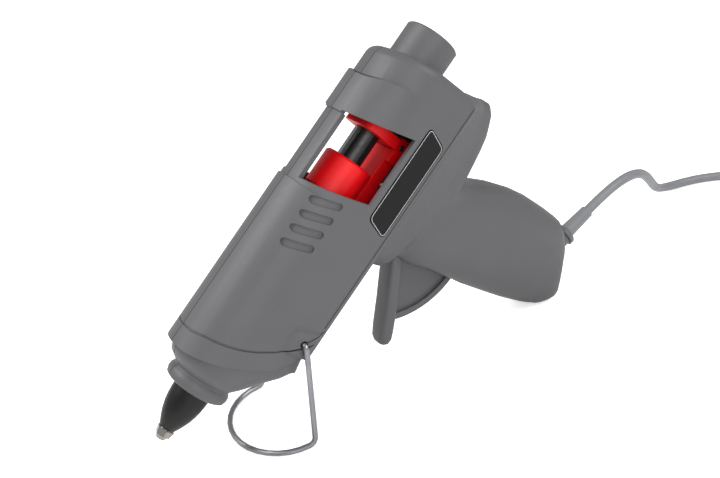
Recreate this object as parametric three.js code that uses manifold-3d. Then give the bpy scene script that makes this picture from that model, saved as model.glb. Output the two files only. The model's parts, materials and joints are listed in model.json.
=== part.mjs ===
// Hot glue applicator, millimetres, +Z up, standing on its wire stand and on the butt of its handle.
// The gun is drawn level first: X runs along the barrel from the nozzle (-) to the stick inlet (+),
// Z points away from the handle, and the near side is -Y. Then the whole gun is pitched nose down.
import * as THREE from 'three';
import { mergeVertices } from 'three/addons/utils/BufferGeometryUtils.js';
import Module from 'manifold-3d';

const wasm = await Module();
wasm.setup();

// Driving sizes, mm
const pitchDegrees = 40.3;
const seatGap = 0.3;
const weld = 0.5;
const overrun = 4;

const barrel = {
  length: 160, rearX: -12.4, halfWidth: 22.5, crown: 23.5, windowCrown: 22.4, rearCrown: 20.8, floor: 29,
  cornerRadius: 6, wall: 2.2, endRound: 4.5, raisedFrontX: -87, raisedRearX: -52.2,
};
const groove = { z: -24.3, width: 0.9, depth: 0.6, endGap: 2.3 };
const nose = { root: 32.4, length: 47.2, halfWidth: 21.8, rise: 21.4, drop: 28.8, collarRadius: 15.2, wall: 2.4 };
const handle = { depth: 157.8, reach: 98.6, halfWidth: 21.2, wall: 2.4 };
const windowCut = { frontX: -77.6, rearX: -43.8, bottomZ: -7.2, topZ: 21.3, slant: 7.4, bridge: 13.4 };
const vent = {
  count: 4, firstX: -86, pitch: 7.1, topZ: 16.9, bottomZ: 4.1, slant: 3.3, width: 3.4, depth: 1.1,
};
const badge = {
  frontX: -86.4, rearX: -34.8, topZ: -10, bottomZ: -22.9, slant: 3.4, corner: 3, thickness: 0.9, sink: 0.7,
};
const stand = {
  behindFront: 28.9, pivotZ: -18.9, wireRadius: 1.3, holeGap: 0.45, leg: 49.3, legHalfWidth: 25.4,
  footHalfWidth: 28, footReach: 25, leanDegrees: 5.7, bend: 3.4, knee: 2.4, hook: 4.2, bossRadius: 3.4,
  boss: 5.6,
};
const pad = {
  ahead: 7.7, behind: 8.2, above: 8, below: 6.1, slant: 1.8, corner: 1, height: 1.2, bevel: 1.5,
  slit: 0.9, slitReach: 9.5, slitDrop: 6.7, slitDepth: 0.9,
};
const inlet = {
  outerRadius: 13, boreRadius: 6.3, depth: 34, flangeRadius: 15.5, flangeThickness: 2, flangeX: -27,
  seatX: -24, rimRound: 0.6, funnel: 1, funnelDepth: 1.4, step: 1.2,
};
const stick = { radius: 5.6, frontX: -104, rearX: -15 };
const trigger = {
  restDegrees: 34.8, reach: 59, thickness: 8, width: 12.4, webRadius: 45.8, webThickness: 3, webRoot: 3,
  webEndDegrees: 97, rimWidth: 3.2, rimThickness: 6.4, hubRadius: 4.6, hubHalfWidth: 9.6, armHalf: 3.2,
  armInner: 7.3, armPast: 3, armSlotGap: 0.35, squeezeDegrees: 28, slotHalfWidth: 7.2, slotAhead: 24.5,
  slotBehind: 4, slotBelow: 50.7, innerAhead: 11.5, innerAbove: 7, pegDrop: 3.4,
};
const pin = { radius: 2, halfLength: 12.4, gap: 0.15 };
const carriage = {
  frontX: -84, rearX: -66, radius: 11.5, boreRadius: 6.1, round: 1, keelTop: -10.4, keelBottom: -16.4,
  keelHalfWidth: 7, lugHalfLength: 4, lugBelow: 3, pegRadius: 1.6, pegHalfLength: 10.2, earThickness: 2.6,
  earPast: 1.4, earRoot: 6,
};
const clamp = {
  frontX: -50.6, rearX: -45.6, topZ: 9.2, bottomZ: -17.4, halfWidth: 11, boreRadius: 6.05, waistZ: -9.6,
  pinRadius: 1.2, corner: 5,
};
const sleeve = { frontX: -113.2, rearX: -99.6, radius: 10.6, boreRadius: 5.95, neckX: -107, funnel: 1.5, round: 1 };
const chamber = {
  ahead: 3.6, rearX: -107.4, spigotRadius: 8, radius: 9, finRadius: 12.6, finShare: 0.048, finCount: 9,
  finFront: 13, finRear: 3.7,
  boreRadius: 6.3, coneRear: 10, coneFront: 5, neckRadius: 6, neck: 7, channelRadius: 2,
};
const ring = { frontX: -117.7, rearX: -113.6, boreRadius: 8.4, flat: 24 };
const heater = { halfWidth: 5, thickness: 4.4 };
const clip = { halfWidth: 15.2, thickness: 1.2, topZ: 3 };
const nozzle = {
  base: 5.6, baseRadius: 7.6, shoulder: 17.6, hex: 36.5, end: 41.6, hexRadius: 4.4, neckRadius: 3.4,
  neckLength: 1.2, tipRadius: 2.1, boreRadius: 1.3, tipLength: 1.8,
};
const boot = { rear: 9.6, lip: 15, mouth: 36.1, baseRadius: 9 };
const leadExitPlace = { reachShare: 0.279, depthShare: 0.9198, aimDegrees: -15.8 };
const grommet = {
  radius: 5.2, flangeRadius: 6.4, flangeThickness: 3, boreRadius: 4.4, inner: 18, collar: 1.1, collarLength: 2,
  lip: 0.8, round: 0.8,
};
const relief = { reach: 21, rootRadius: 4.1, tipRadius: 3.55, head: 2, headRadius: 5.4 };
const cord = { radius: 2.75, sides: 8, steps: 64, tuckedIn: 34, straight: 24 };
const coil = {
  beyond: 176, across: -34.5, ringRadius: 30, bandHalfWidth: 8.8, bottom: 1.5, height: 11.6, chamfer: 2.4,
  gap: 0.45, low: 4.3, fromDegrees: 56, stepDegrees: 10,
};
const tie = { width: 9, thickness: 1, clear: 0.6, atDegrees: -110 };
const plug = {
  length: 36, backRadius: 4.6, faceHalfWidth: 13, faceHalfHeight: 6.6, pinRadius: 2, pinLength: 19,
  pinSpacing: 18.6, pinRound: 1.2, lead: 12, aimDegrees: 30, aside: 22, bendStep: 30, onCoilStep: 20,
};
const cordClamp = {
  inward: 25, length: 19, width: 7, thickness: 2.4, screwReach: 6.6, shankRadius: 1.2, headRadius: 2.4,
  headHeight: 1.6, postRadius: 2.9, tipY: 9, tipGap: 2, driveHalf: 1.7, driveWidth: 0.6, driveDepth: 0.9,
};
const spring = {
  wireRadius: 0.32, coilRadius: 5.3, turns: 3, pitch: 0.72, outerY: 7, hook: 2.4, armLeg: 15, postLeg: 13,
  restDegrees: 60, postRadius: 1.6, postReach: 10.5,
};
const lead = {
  radius: 0.8, holeGap: 0.6, side: 12.8, height: -14.1, run: 1.6, gather: 1.5, spare: 2.2, sides: 6, steps: 40,
};
const screw = {
  headRadius: 2.9, headHeight: 2, headGap: 0.5, shankRadius: 1.35, bossRadius: 3.3, boreRadius: 1.7,
  headBossWall: 2, tipY: -9, tipGap: 1.5, driveWidth: 0.7, driveDepth: 0.9,
};

// Places that follow from the driving sizes
const barrelFrontX = barrel.rearX - barrel.length;
const noseRootX = barrelFrontX + nose.root;
const noseEndX = noseRootX - nose.length;
const standPivotX = barrelFrontX + stand.behindFront;
const padRearX = standPivotX + pad.behind;
const chamberFrontX = barrelFrontX - chamber.ahead;
const chamberNeckX = chamberFrontX - chamber.neck;
const mix = (from, to, share) => from + (to - from) * share;
const alongChamber = (share) => mix(chamberFrontX + chamber.finFront, ring.frontX - chamber.finRear, share);
const nozzleBaseX = barrelFrontX - nozzle.base;
const nozzleShoulderX = barrelFrontX - nozzle.shoulder;
const nozzleHexX = barrelFrontX - nozzle.hex;
const nozzleEndX = barrelFrontX - nozzle.end;
const heaterSpan = { frontX: alongChamber(0.072), rearX: alongChamber(0.745) };
const clipSpan = { frontX: alongChamber(0.3125), rearX: alongChamber(0.529) };
const skirtZ = -handle.depth * 0.289;
const triggerPivot = { x: -handle.reach * 0.8063, z: -handle.depth * 0.2807 };
const peg = { z: carriage.keelBottom - trigger.pegDrop };
const radians = (degrees) => (degrees * Math.PI) / 180;
const halfSqueeze = radians(trigger.squeezeDegrees / 2);
const armHeight = (peg.z - triggerPivot.z) / Math.cos(halfSqueeze);
peg.x = triggerPivot.x + armHeight * Math.sin(halfSqueeze);
const sideY = barrel.halfWidth;
const wideY = barrel.halfWidth + overrun;
const springOuterY = spring.outerY;
const springInnerY = spring.outerY - spring.pitch * spring.turns;

// Materials
const paint = (color, roughness, metalness) => new THREE.MeshStandardMaterial({ color, roughness, metalness });
const greyShell = paint(0x6a6a6c, 0.55, 0);
const redNylon = paint(0xd2141c, 0.4, 0);
const blackRubber = paint(0x1b1b1c, 0.7, 0);
const darkPlastic = paint(0x2a2a2b, 0.5, 0);
const steel = paint(0x9a9a9c, 0.35, 1);
const nickel = paint(0xb8b4aa, 0.3, 1);
const castAluminium = paint(0xa9abad, 0.5, 1);
const ceramic = paint(0xe4ded2, 0.7, 0);
const heatBoard = paint(0x6f5138, 0.8, 0);
const greyCord = paint(0x5a5b5d, 0.6, 0);

// Solids
const mergeDistance = 0.0005;
const simplifyDistance = 0.02;

function solid(geometry) {
  geometry.deleteAttribute('normal');
  geometry.deleteAttribute('uv');
  const merged = mergeVertices(geometry, mergeDistance);
  const vertProperties = new Float32Array(merged.attributes.position.array);
  const triVerts = new Uint32Array(merged.index.array);
  const body = new wasm.Manifold(new wasm.Mesh({ numProp: 3, vertProperties, triVerts }));
  if (body.volume() > 0) return body;
  for (let i = 0; i < triVerts.length; i += 3) {
    [triVerts[i], triVerts[i + 1]] = [triVerts[i + 1], triVerts[i]];
  }
  return new wasm.Manifold(new wasm.Mesh({ numProp: 3, vertProperties, triVerts }));
}

const union = (bodies) => bodies.reduce((all, body) => all.add(body));
const largest = (body) => body.decompose().sort((a, b) => b.volume() - a.volume())[0];
const cut = (body, tools) => tools.reduce((rest, tool) => rest.subtract(tool), body);
const power = (value, exponent) => Math.sign(value) * Math.abs(value) ** exponent;

function toMesh(name, body, material) {
  const data = largest(body.asOriginal().simplify(simplifyDistance)).getMesh();
  const geometry = new THREE.BufferGeometry();
  geometry.setAttribute('position', new THREE.BufferAttribute(new Float32Array(data.vertProperties), 3));
  geometry.setIndex(new THREE.BufferAttribute(new Uint32Array(data.triVerts), 1));
  geometry.computeVertexNormals();
  const mesh = new THREE.Mesh(geometry, material);
  mesh.name = name;
  return mesh;
}

function block(x0, x1, y0, y1, z0, z1) {
  const geometry = new THREE.BoxGeometry(x1 - x0, y1 - y0, z1 - z0);
  geometry.translate((x0 + x1) / 2, (y0 + y1) / 2, (z0 + z1) / 2);
  return solid(geometry);
}

// A disc of the given radius drawn out along Y about the line (x, z).
function rodY(x, z, radius, y0, y1, sides = 24) {
  const geometry = new THREE.CylinderGeometry(radius, radius, y1 - y0, sides);
  geometry.translate(x, (y0 + y1) / 2, z);
  return solid(geometry);
}

// A profile of [x, radius] points turned about the barrel axis.
function turned(profile, sides = 40) {
  const points = profile.map(([x, radius]) => new THREE.Vector2(radius, x));
  const geometry = new THREE.LatheGeometry(points, sides);
  geometry.rotateZ(-Math.PI / 2);
  return solid(geometry);
}

// A round bar or bore about the barrel axis.
const disc = (x0, x1, radius, sides) => turned([[x0, 0], [x0, radius], [x1, radius], [x1, 0]], sides);

// A side outline, a shape or [x, z] points, drawn out along Y.
function sideProfile(outline, y0, y1) {
  const listed = Array.isArray(outline);
  const shape = listed ? new THREE.Shape(outline.map(([x, z]) => new THREE.Vector2(x, z))) : outline;
  const geometry = new THREE.ExtrudeGeometry(shape, { depth: y1 - y0, bevelEnabled: false, curveSegments: 5 });
  geometry.rotateX(Math.PI / 2);
  geometry.translate(0, y1, 0);
  return solid(geometry);
}

// A cross-section of [y, z] points drawn out along X.
function barrelSection(shape, x0, x1) {
  const geometry = new THREE.ExtrudeGeometry(shape, { depth: x1 - x0, bevelEnabled: false, curveSegments: 9 });
  geometry.rotateX(Math.PI / 2);
  geometry.rotateZ(Math.PI / 2);
  geometry.translate(x0, 0, 0);
  return solid(geometry);
}

// Equal rings of points joined one to the next and closed at both ends.
function loft(rings) {
  const count = rings[0].length;
  const positions = [];
  const indices = [];
  rings.forEach((points) => points.forEach((p) => positions.push(p.x, p.y, p.z)));
  const middle = (points) => points.reduce((sum, p) => sum.add(p), new THREE.Vector3()).divideScalar(count);
  const first = middle(rings[0]);
  const last = middle(rings[rings.length - 1]);
  positions.push(first.x, first.y, first.z, last.x, last.y, last.z);
  const firstIndex = rings.length * count;
  for (let i = 0; i < count; i += 1) {
    const next = (i + 1) % count;
    for (let r = 0; r + 1 < rings.length; r += 1) {
      const a = r * count;
      const b = a + count;
      indices.push(a + i, a + next, b + next, a + i, b + next, b + i);
    }
    const end = (rings.length - 1) * count;
    indices.push(firstIndex, next, i, firstIndex + 1, end + i, end + next);
  }
  const geometry = new THREE.BufferGeometry();
  geometry.setAttribute('position', new THREE.Float32BufferAttribute(positions, 3));
  geometry.setIndex(indices);
  return solid(geometry);
}

// A round section carried along a line of points without twisting.
function sweep(points, radius, sides) {
  const way = (i) => points[Math.min(i + 1, points.length - 1)].clone().sub(points[Math.max(i - 1, 0)]).normalize();
  const normal = new THREE.Vector3(0, 1, 0);
  if (Math.abs(way(0).y) > Math.abs(way(0).z)) normal.set(0, 0, 1);
  return loft(points.map((point, i) => {
    const tangent = way(i);
    normal.addScaledVector(tangent, -normal.dot(tangent)).normalize();
    const across = new THREE.Vector3().crossVectors(tangent, normal);
    return Array.from({ length: sides }, (_, k) => {
      const angle = (k / sides) * 2 * Math.PI;
      return point.clone().addScaledVector(normal, radius * Math.cos(angle))
        .addScaledVector(across, radius * Math.sin(angle));
    });
  }));
}

// A round wire or lead along a smooth line through a list of points.
function tube(points, radius, sides, steps) {
  const curve = new THREE.CatmullRomCurve3(points, false, 'centripetal');
  return sweep(curve.getSpacedPoints(steps), radius, sides);
}

// Housing
// Arched roof, flat sides, flat floor with rounded corners; inset draws the same section smaller.
function archShape(crown, inset) {
  const w = barrel.halfWidth - inset;
  const top = crown - inset;
  const floor = -barrel.floor + inset;
  const r = barrel.cornerRadius - inset / 2;
  const shape = new THREE.Shape();
  shape.moveTo(w, 0);
  shape.absellipse(0, 0, w, top, 0, Math.PI, false, 0);
  shape.lineTo(-w, floor + r);
  shape.quadraticCurveTo(-w, floor, -w + r, floor);
  shape.lineTo(w - r, floor);
  shape.quadraticCurveTo(w, floor, w, floor + r);
  shape.closePath();
  return shape;
}

// Edges of the shell seen from the side: [share of barrel length from the rear, share of crown].
const frontEdgeShares = [
  [1.002, 1.3], [1.002, 0.92], [0.989, 0.65], [0.977, 0.38], [0.96, 0.07], [0.926, -0.57], [0.86, -0.98],
  [0.835, -1.3],
];
const rearEdgeShares = [
  [0.053, 1.3], [0.053, 0.96], [0.034, 0.885], [0.021, 0.53], [0.01, 0], [0, -0.86], [0, -1.3],
];
const bandEdgeShares = [[0.135, 1.3], [0.135, 0.95], [0.118, 0.76], [0.106, 0.45], [0.102, 0.14], [0.102, -1.3]];
const ringEdgeShares = [
  [0.946, 1.1], [0.945, 0.95], [0.935, 0.81], [0.926, 0.57], [0.914, 0.29], [0.896, -0.06], [0.873, -0.41],
  [0.828, -0.86], [0.805, -1.02],
];

const barrelPoint = ([along, up], inset = 0) => [barrel.rearX - along * barrel.length + inset, up * barrel.crown];

function rearEdgeX(z) {
  const points = rearEdgeShares.map((share) => barrelPoint(share));
  const after = Math.max(1, points.findIndex((point) => point[1] <= z));
  const [x0, z0] = points[after - 1];
  const [x1, z1] = points[after];
  return mix(x0, x1, (z - z0) / (z1 - z0));
}

// The barrel's rear end, its rim rounded over: the rings shrink as they near the slanting edge.
function rearCapSolid(inset) {
  const outline = (depth) => archShape(barrel.rearCrown, depth).getPoints(9)
    .filter((point, i, all) => point.distanceTo(all[(i + 1) % all.length]) > mergeDistance);
  const rings = [outline(inset).map(({ x, y }) => new THREE.Vector3(barrel.raisedRearX, x, y))];
  const steps = 4;
  for (let i = 0; i <= steps; i += 1) {
    const turn = (i / steps) * (Math.PI / 2);
    const depth = barrel.endRound * (1 - Math.cos(turn));
    const setback = barrel.endRound * (1 - Math.sin(turn)) + inset;
    rings.push(outline(inset + depth).map(({ x, y }) => new THREE.Vector3(rearEdgeX(y) - setback, x, y)));
  }
  return loft(rings);
}

function barrelSolid(inset) {
  const front = frontEdgeShares.map((share) => barrelPoint(share, inset));
  const band = bandEdgeShares.map((share) => barrelPoint(share)).reverse();
  const beforeBand = sideProfile([...front, ...band], -wideY, wideY);
  const frontX = barrelFrontX - overrun;
  const section = (crown, x0, x1) => barrelSection(archShape(crown, inset), x0, x1);
  const raised = union([section(barrel.crown, frontX, barrel.raisedFrontX),
    section(barrel.crown, barrel.raisedRearX, barrel.rearX)]).intersect(beforeBand);
  const lowered = section(barrel.windowCrown, frontX, barrel.rearX).intersect(beforeBand);
  return union([lowered, raised, rearCapSolid(inset)]);
}

// Nose: [share of its length from its root, shares of its half width, rise and drop, squareness of its underside].
const noseStations = [
  [0, 0.945, 0.963, 0.958, 5], [0.36, 1, 1, 1, 8], [0.392, 0.991, 0.995, 0.976, 6],
  [0.487, 0.959, 0.981, 0.944, 4], [0.602, 0.908, 0.963, 0.819, 2.8],
  [0.731, 0.826, 0.935, 0.653, 2.3], [0.78, 0.798, 0.888, 0.587, 2.1],
];
// Collar round the nozzle: [share of the nose's length, share of the collar's radius].
const collarStations = [
  [0.854, 0.933], [0.871, 0.926], [0.903, 0.988], [0.945, 1], [0.983, 0.963], [1, 0.871],
];

function noseSolid(inset, frontX) {
  const sides = 32;
  const alongNose = (share) => Math.max(noseRootX - share * nose.length, frontX);
  const stations = noseStations.map(([share, w, rise, drop, squareness]) => ({
    x: alongNose(share), w: w * nose.halfWidth, rise: rise * nose.rise, drop: drop * nose.drop, squareness,
  })).concat(collarStations.map(([share, r]) => {
    const radius = r * nose.collarRadius;
    return { x: alongNose(share), w: radius, rise: radius, drop: radius, squareness: 2 };
  }));
  const rings = stations.map(({ x, w, rise, drop, squareness }) => Array.from({ length: sides }, (_, i) => {
    const angle = (i / sides) * 2 * Math.PI;
    const under = Math.sin(angle) < 0;
    const exponent = under ? 2 / squareness : 1;
    const y = (w - inset) * power(Math.cos(angle), exponent);
    const z = ((under ? drop : rise) - inset) * power(Math.sin(angle), exponent);
    return new THREE.Vector3(x, y, z);
  }));
  return loft(rings.filter((points, i) => i === 0 || points[0].x < rings[i - 1][0].x));
}

// Handle and its root, level by level: shares of its depth, of its reach to the front and to the rear,
// of its half width, and the squareness of the section.
const handleLevels = [
  [0.089, 1, 0.132, 1, 7], [0.139, 1, 0.122, 0.981, 7], [0.177, 1, 0.095, 0.925, 6],
  [0.209, 1, 0.073, 0.849, 4.6], [0.234, 1, 0.063, 0.783, 3.8], [0.253, 1, 0.053, 0.745, 3.4],
  [0.272, 0.994, 0.04, 0.717, 3.2], [0.283, 0.98, 0.045, 0.708, 3.2],
  [0.289, 0.943, 0.055, 0.708, 3.2], [0.298, 0.913, 0.081, 0.708, 3.2],
  [0.308, 0.909, 0.116, 0.708, 3.2], [0.318, 0.907, 0.218, 0.712, 3.2],
  [0.329, 0.905, 0.36, 0.722, 3.2], [0.342, 0.903, 0.406, 0.736, 3.2], [0.368, 0.898, 0.4, 0.759, 3.2],
  [0.399, 0.886, 0.387, 0.778, 3], [0.437, 0.872, 0.357, 0.778, 2.9], [0.501, 0.856, 0.31, 0.783, 2.8],
  [0.57, 0.838, 0.274, 0.797, 2.7], [0.646, 0.813, 0.248, 0.802, 2.6],
  [0.729, 0.785, 0.233, 0.788, 2.5], [0.792, 0.763, 0.226, 0.764, 2.4],
  [0.83, 0.746, 0.227, 0.745, 2.4], [0.862, 0.732, 0.245, 0.726, 2.3],
  [0.887, 0.72, 0.276, 0.708, 2.3], [0.906, 0.71, 0.31, 0.689, 2.3], [0.929, 0.696, 0.363, 0.66, 2.3],
  [0.951, 0.68, 0.416, 0.623, 2.3], [0.97, 0.655, 0.455, 0.571, 2.2], [0.986, 0.625, 0.49, 0.5, 2.2],
  [0.995, 0.596, 0.517, 0.406, 2.1], [1, 0.572, 0.538, 0.283, 2.1],
];

function handleLevel(depthShare) {
  const after = Math.max(1, handleLevels.findIndex((level) => level[0] >= depthShare));
  const before = handleLevels[after - 1];
  const share = (depthShare - before[0]) / (handleLevels[after][0] - before[0]);
  const [, front, rear, half, squareness] = before.map((value, i) => mix(value, handleLevels[after][i], share));
  return { front: -front * handle.reach, rear: -rear * handle.reach, half: half * handle.halfWidth, squareness };
}

// The hollow keeps its wall under a face that looks down, such as the horn's, by heeding the level below.
function handleSolid(inset) {
  const sides = 24;
  const lowest = 1 - inset / handle.depth;
  const shares = handleLevels.map(([depthShare]) => depthShare)
    .filter((share, i) => inset === 0 || (i % 2 === 0 && share < lowest));
  const rings = shares.map((share) => {
    const here = handleLevel(share);
    const below = handleLevel(Math.min(1, share + inset / handle.depth));
    const front = Math.max(here.front, below.front) + inset;
    const rear = Math.min(here.rear, below.rear) - inset;
    const half = Math.min(here.half, below.half) - inset;
    return Array.from({ length: sides }, (_, i) => {
      const angle = (i / sides) * 2 * Math.PI;
      const x = (front + rear) / 2 + ((rear - front) / 2) * power(Math.cos(angle), 2 / here.squareness);
      const y = half * power(Math.sin(angle), 2 / here.squareness);
      return new THREE.Vector3(x, y, -share * handle.depth);
    });
  });
  return loft(rings);
}

// Floor height on which the gun stands, in the level frame's up direction.
const up = { x: Math.sin(radians(pitchDegrees)), z: Math.cos(radians(pitchDegrees)) };
const along = { x: up.z, z: -up.x };
const footHeight = up.x * standPivotX + up.z * stand.pivotZ - stand.leg - stand.wireRadius;

// Screws: x, z, and how far from the parting plane the head sits.
const screwPlaces = [
  [-handle.reach * 0.274, -handle.depth * 0.253, handle.halfWidth * 0.519],
  [standPivotX + stand.behindFront * 0.675, -barrel.floor * 0.745, sideY * 0.578],
  [barrel.rearX - barrel.length * 0.579, barrel.crown * 0.664, sideY * 0.471],
  [barrelFrontX + barrel.length * 0.011, barrel.crown * 0.553, sideY * 0.267],
  [barrel.rearX - barrel.length * 0.164, barrel.crown * 0.655, sideY * 0.471],
  [-handle.reach * 0.467, -handle.depth * 0.608, handle.halfWidth * 0.566],
  [-handle.reach * 0.649, -handle.depth * 0.9, handle.halfWidth * 0.472],
];

// The lead leaves the back of the handle just above its butt.
const leadAngle = radians(leadExitPlace.aimDegrees);
const leadAim = new THREE.Vector3(Math.cos(leadAngle), 0, Math.sin(leadAngle));
const leadExit = new THREE.Vector3(
  -leadExitPlace.reachShare * handle.reach, 0, -leadExitPlace.depthShare * handle.depth,
);
const onLead = (distance) => leadExit.clone().addScaledVector(leadAim, distance);

function placeOnLead(geometry) {
  geometry.applyQuaternion(new THREE.Quaternion().setFromUnitVectors(new THREE.Vector3(0, 1, 0), leadAim));
  geometry.translate(leadExit.x, leadExit.y, leadExit.z);
  return solid(geometry);
}

function alongLead(radius, from, to, sides = 24) {
  const geometry = new THREE.CylinderGeometry(radius, radius, to - from, sides);
  geometry.translate(0, (from + to) / 2, 0);
  return placeOnLead(geometry);
}

// A profile of [distance along the lead, radius] points turned about the lead.
const turnedOnLead = (profile, sides) => placeOnLead(
  new THREE.LatheGeometry(profile.map(([distance, radius]) => new THREE.Vector2(radius, distance)), sides),
);

const leadWay = cord.radius + seatGap;
const farLead = grommet.inner + overrun;

function clampScrewPlaces() {
  const across = new THREE.Vector3(-leadAim.z, 0, leadAim.x);
  return [-1, 1].map((sign) => onLead(-cordClamp.inward).addScaledVector(across, sign * cordClamp.screwReach));
}

// Housing details
const mirrored = (y0, y1, make) => [make(y0, y1), make(-y1, -y0)];

function strip(points, width) {
  const shifted = (side) => points.map(([x, z]) => [x + (side * width) / 2, z]);
  return [...shifted(1), ...shifted(-1).reverse()];
}

function ventOutline(index) {
  const x = vent.firstX - index * vent.pitch;
  const shape = new THREE.Shape();
  const lean = Math.atan2(vent.slant, vent.topZ - vent.bottomZ);
  const r = vent.width / 2;
  shape.absarc(x, vent.bottomZ + r, r, Math.PI + lean, 2 * Math.PI + lean, false);
  shape.absarc(x - vent.slant, vent.topZ - r, r, lean, Math.PI + lean, false);
  shape.closePath();
  return shape;
}

function badgeOutline(margin) {
  const { frontX, rearX, topZ, bottomZ, slant } = badge;
  const r = badge.corner - margin;
  const corners = [[frontX + margin, bottomZ + margin], [rearX - slant - margin, bottomZ + margin],
    [rearX - margin, topZ - margin], [frontX + slant + margin, topZ - margin]];
  const shape = new THREE.Shape();
  corners.forEach((corner, i) => {
    const toward = (other) => {
      const reach = r / Math.hypot(other[0] - corner[0], other[1] - corner[1]);
      return [mix(corner[0], other[0], reach), mix(corner[1], other[1], reach)];
    };
    shape[i ? 'lineTo' : 'moveTo'](...toward(corners[(i + 3) % 4]));
    shape.quadraticCurveTo(...corner, ...toward(corners[(i + 1) % 4]));
  });
  shape.closePath();
  return shape;
}

// The pad round the stand's pivot stands proud of both sides with bevelled edges.
function padSolid() {
  const ring = (inset, y) => {
    const frontX = standPivotX - pad.ahead + inset;
    const rearX = standPivotX + pad.behind - inset;
    const topZ = stand.pivotZ + pad.above - inset;
    const bottomZ = stand.pivotZ - pad.below + inset;
    return [[frontX, topZ - pad.slant], [frontX + pad.slant, topZ], [rearX - pad.slant - pad.corner, topZ],
      [rearX, bottomZ], [frontX + pad.slant, bottomZ]].map(([x, z]) => new THREE.Vector3(x, y, z));
  };
  const outerY = sideY + pad.height;
  return loft([ring(pad.bevel, -outerY), ring(0, -sideY), ring(0, sideY), ring(pad.bevel, outerY)]);
}

const hubRoom = trigger.hubHalfWidth + seatGap;
const core = (depth) => barrelSection(archShape(barrel.crown, depth), barrelFrontX - overrun, barrel.rearX + overrun);

function innerFittings() {
  const standInnerY = sideY - stand.boss;
  const clampPosts = clampScrewPlaces().map(({ x, z }) => rodY(x, z, cordClamp.postRadius, 0, wideY, 18)
    .subtract(rodY(x, z, cordClamp.shankRadius + seatGap, -weld, cordClamp.tipY + cordClamp.tipGap, 14)));
  const post = springPostPlace();
  return union([
    ...screwPlaces.map(([x, z]) => rodY(x, z, screw.bossRadius, -wideY, wideY, 12)),
    ...screwPlaces.map(([x, z, seat]) => rodY(
      x, z, screw.headRadius + screw.headBossWall, seat - screw.headBossWall, wideY, 14,
    )),
    ...mirrored(hubRoom, wideY, (y0, y1) => rodY(triggerPivot.x, triggerPivot.z, trigger.hubRadius, y0, y1)),
    ...mirrored(standInnerY, sideY, (y0, y1) => rodY(standPivotX, stand.pivotZ, stand.bossRadius, y0, y1, 18)),
    ...clampPosts,
    rodY(post.x, post.z, spring.postRadius, springInnerY - spring.pitch, wideY, 14),
    alongLead(grommet.radius + handle.wall, -grommet.inner + grommet.collarLength + seatGap, farLead),
  ]);
}

function sideOpenings() {
  const { frontX, rearX, bottomZ, topZ } = windowCut;
  const overZ = topZ + overrun;
  const slant = (windowCut.slant * (overZ - bottomZ)) / (topZ - bottomZ);
  const outline = [[frontX, bottomZ], [rearX, bottomZ], [rearX - slant, overZ], [frontX - slant, overZ]];
  const windows = mirrored(windowCut.bridge / 2, wideY, (y0, y1) => sideProfile(outline, y0, y1));
  const grooves = mirrored(sideY - groove.depth, wideY, (y0, y1) => block(
    padRearX + groove.endGap, barrel.rearX + overrun, y0, y1,
    groove.z - groove.width / 2, groove.z + groove.width / 2,
  ));
  const ringEdge = strip(ringEdgeShares.map((share) => barrelPoint(share)), groove.width);
  const ringGroove = sideProfile(ringEdge, -wideY, wideY).subtract(core(groove.depth));
  const vents = Array.from({ length: vent.count }, (_, i) => sideProfile(ventOutline(i), -wideY, wideY)
    .subtract(core(vent.depth)));
  const slitLine = [[standPivotX, stand.pivotZ], [standPivotX + pad.slitReach, stand.pivotZ - pad.slitDrop]];
  const slit = sideProfile(strip(slitLine, pad.slit), -wideY, wideY).subtract(core(pad.slitDepth));
  const screwHoles = screwPlaces.flatMap(([x, z, seat]) => [
    rodY(x, z, screw.boreRadius, screw.tipY - screw.tipGap, wideY, 10),
    rodY(x, z, screw.headRadius + screw.headGap, seat, wideY, 14),
  ]);
  const wireHole = rodY(standPivotX, stand.pivotZ, stand.wireRadius + stand.holeGap, -wideY, wideY, 16);
  return [...windows, ...grooves, ringGroove, ...vents, slit, ...screwHoles, wireHole];
}

function triggerOpenings() {
  const { x, z } = triggerPivot;
  const y = trigger.slotHalfWidth;
  const hollowRadius = spring.coilRadius + spring.wireRadius + 2 * seatGap;
  const pinReach = pin.halfLength + seatGap;
  return [
    block(x - trigger.slotAhead, x + trigger.slotBehind, -y, y, z - trigger.slotBelow, skirtZ),
    block(x - trigger.innerAhead, x + trigger.slotBehind, -y, y, skirtZ - weld, z + trigger.innerAbove),
    rodY(x, z, hollowRadius, -hubRoom, hubRoom),
    rodY(x, z, pin.radius + pin.gap, -pinReach, pinReach),
  ];
}

function endOpenings() {
  const { flangeX, flangeRadius, flangeThickness } = inlet;
  return [
    disc(inlet.seatX, barrel.rearX + overrun, inlet.outerRadius + seatGap, 48),
    disc(flangeX - flangeThickness - seatGap, flangeX + seatGap, flangeRadius + seatGap, 48),
    disc(noseEndX - overrun, chamberFrontX, boot.baseRadius + seatGap, 48),
    alongLead(grommet.radius + seatGap, -grommet.inner, farLead),
    alongLead(grommet.flangeRadius + seatGap, grommet.lip - seatGap, farLead),
    alongLead(grommet.radius + grommet.collar + seatGap, -grommet.inner - relief.head - 3 * seatGap,
      -grommet.inner + grommet.collarLength + seatGap),
    alongLead(leadWay, -cord.tuckedIn - overrun, 0),
  ];
}

// The butt is cut flat where it rests on the bench.
function benchSolid() {
  const far = barrel.length + handle.depth;
  const spot = (x, z) => [along.x * x + up.x * z, along.z * x + up.z * z];
  const low = footHeight - far;
  const corners = [spot(far, footHeight), spot(-far, footHeight), spot(-far, low), spot(far, low)];
  return sideProfile(corners, -wideY, wideY);
}

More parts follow.
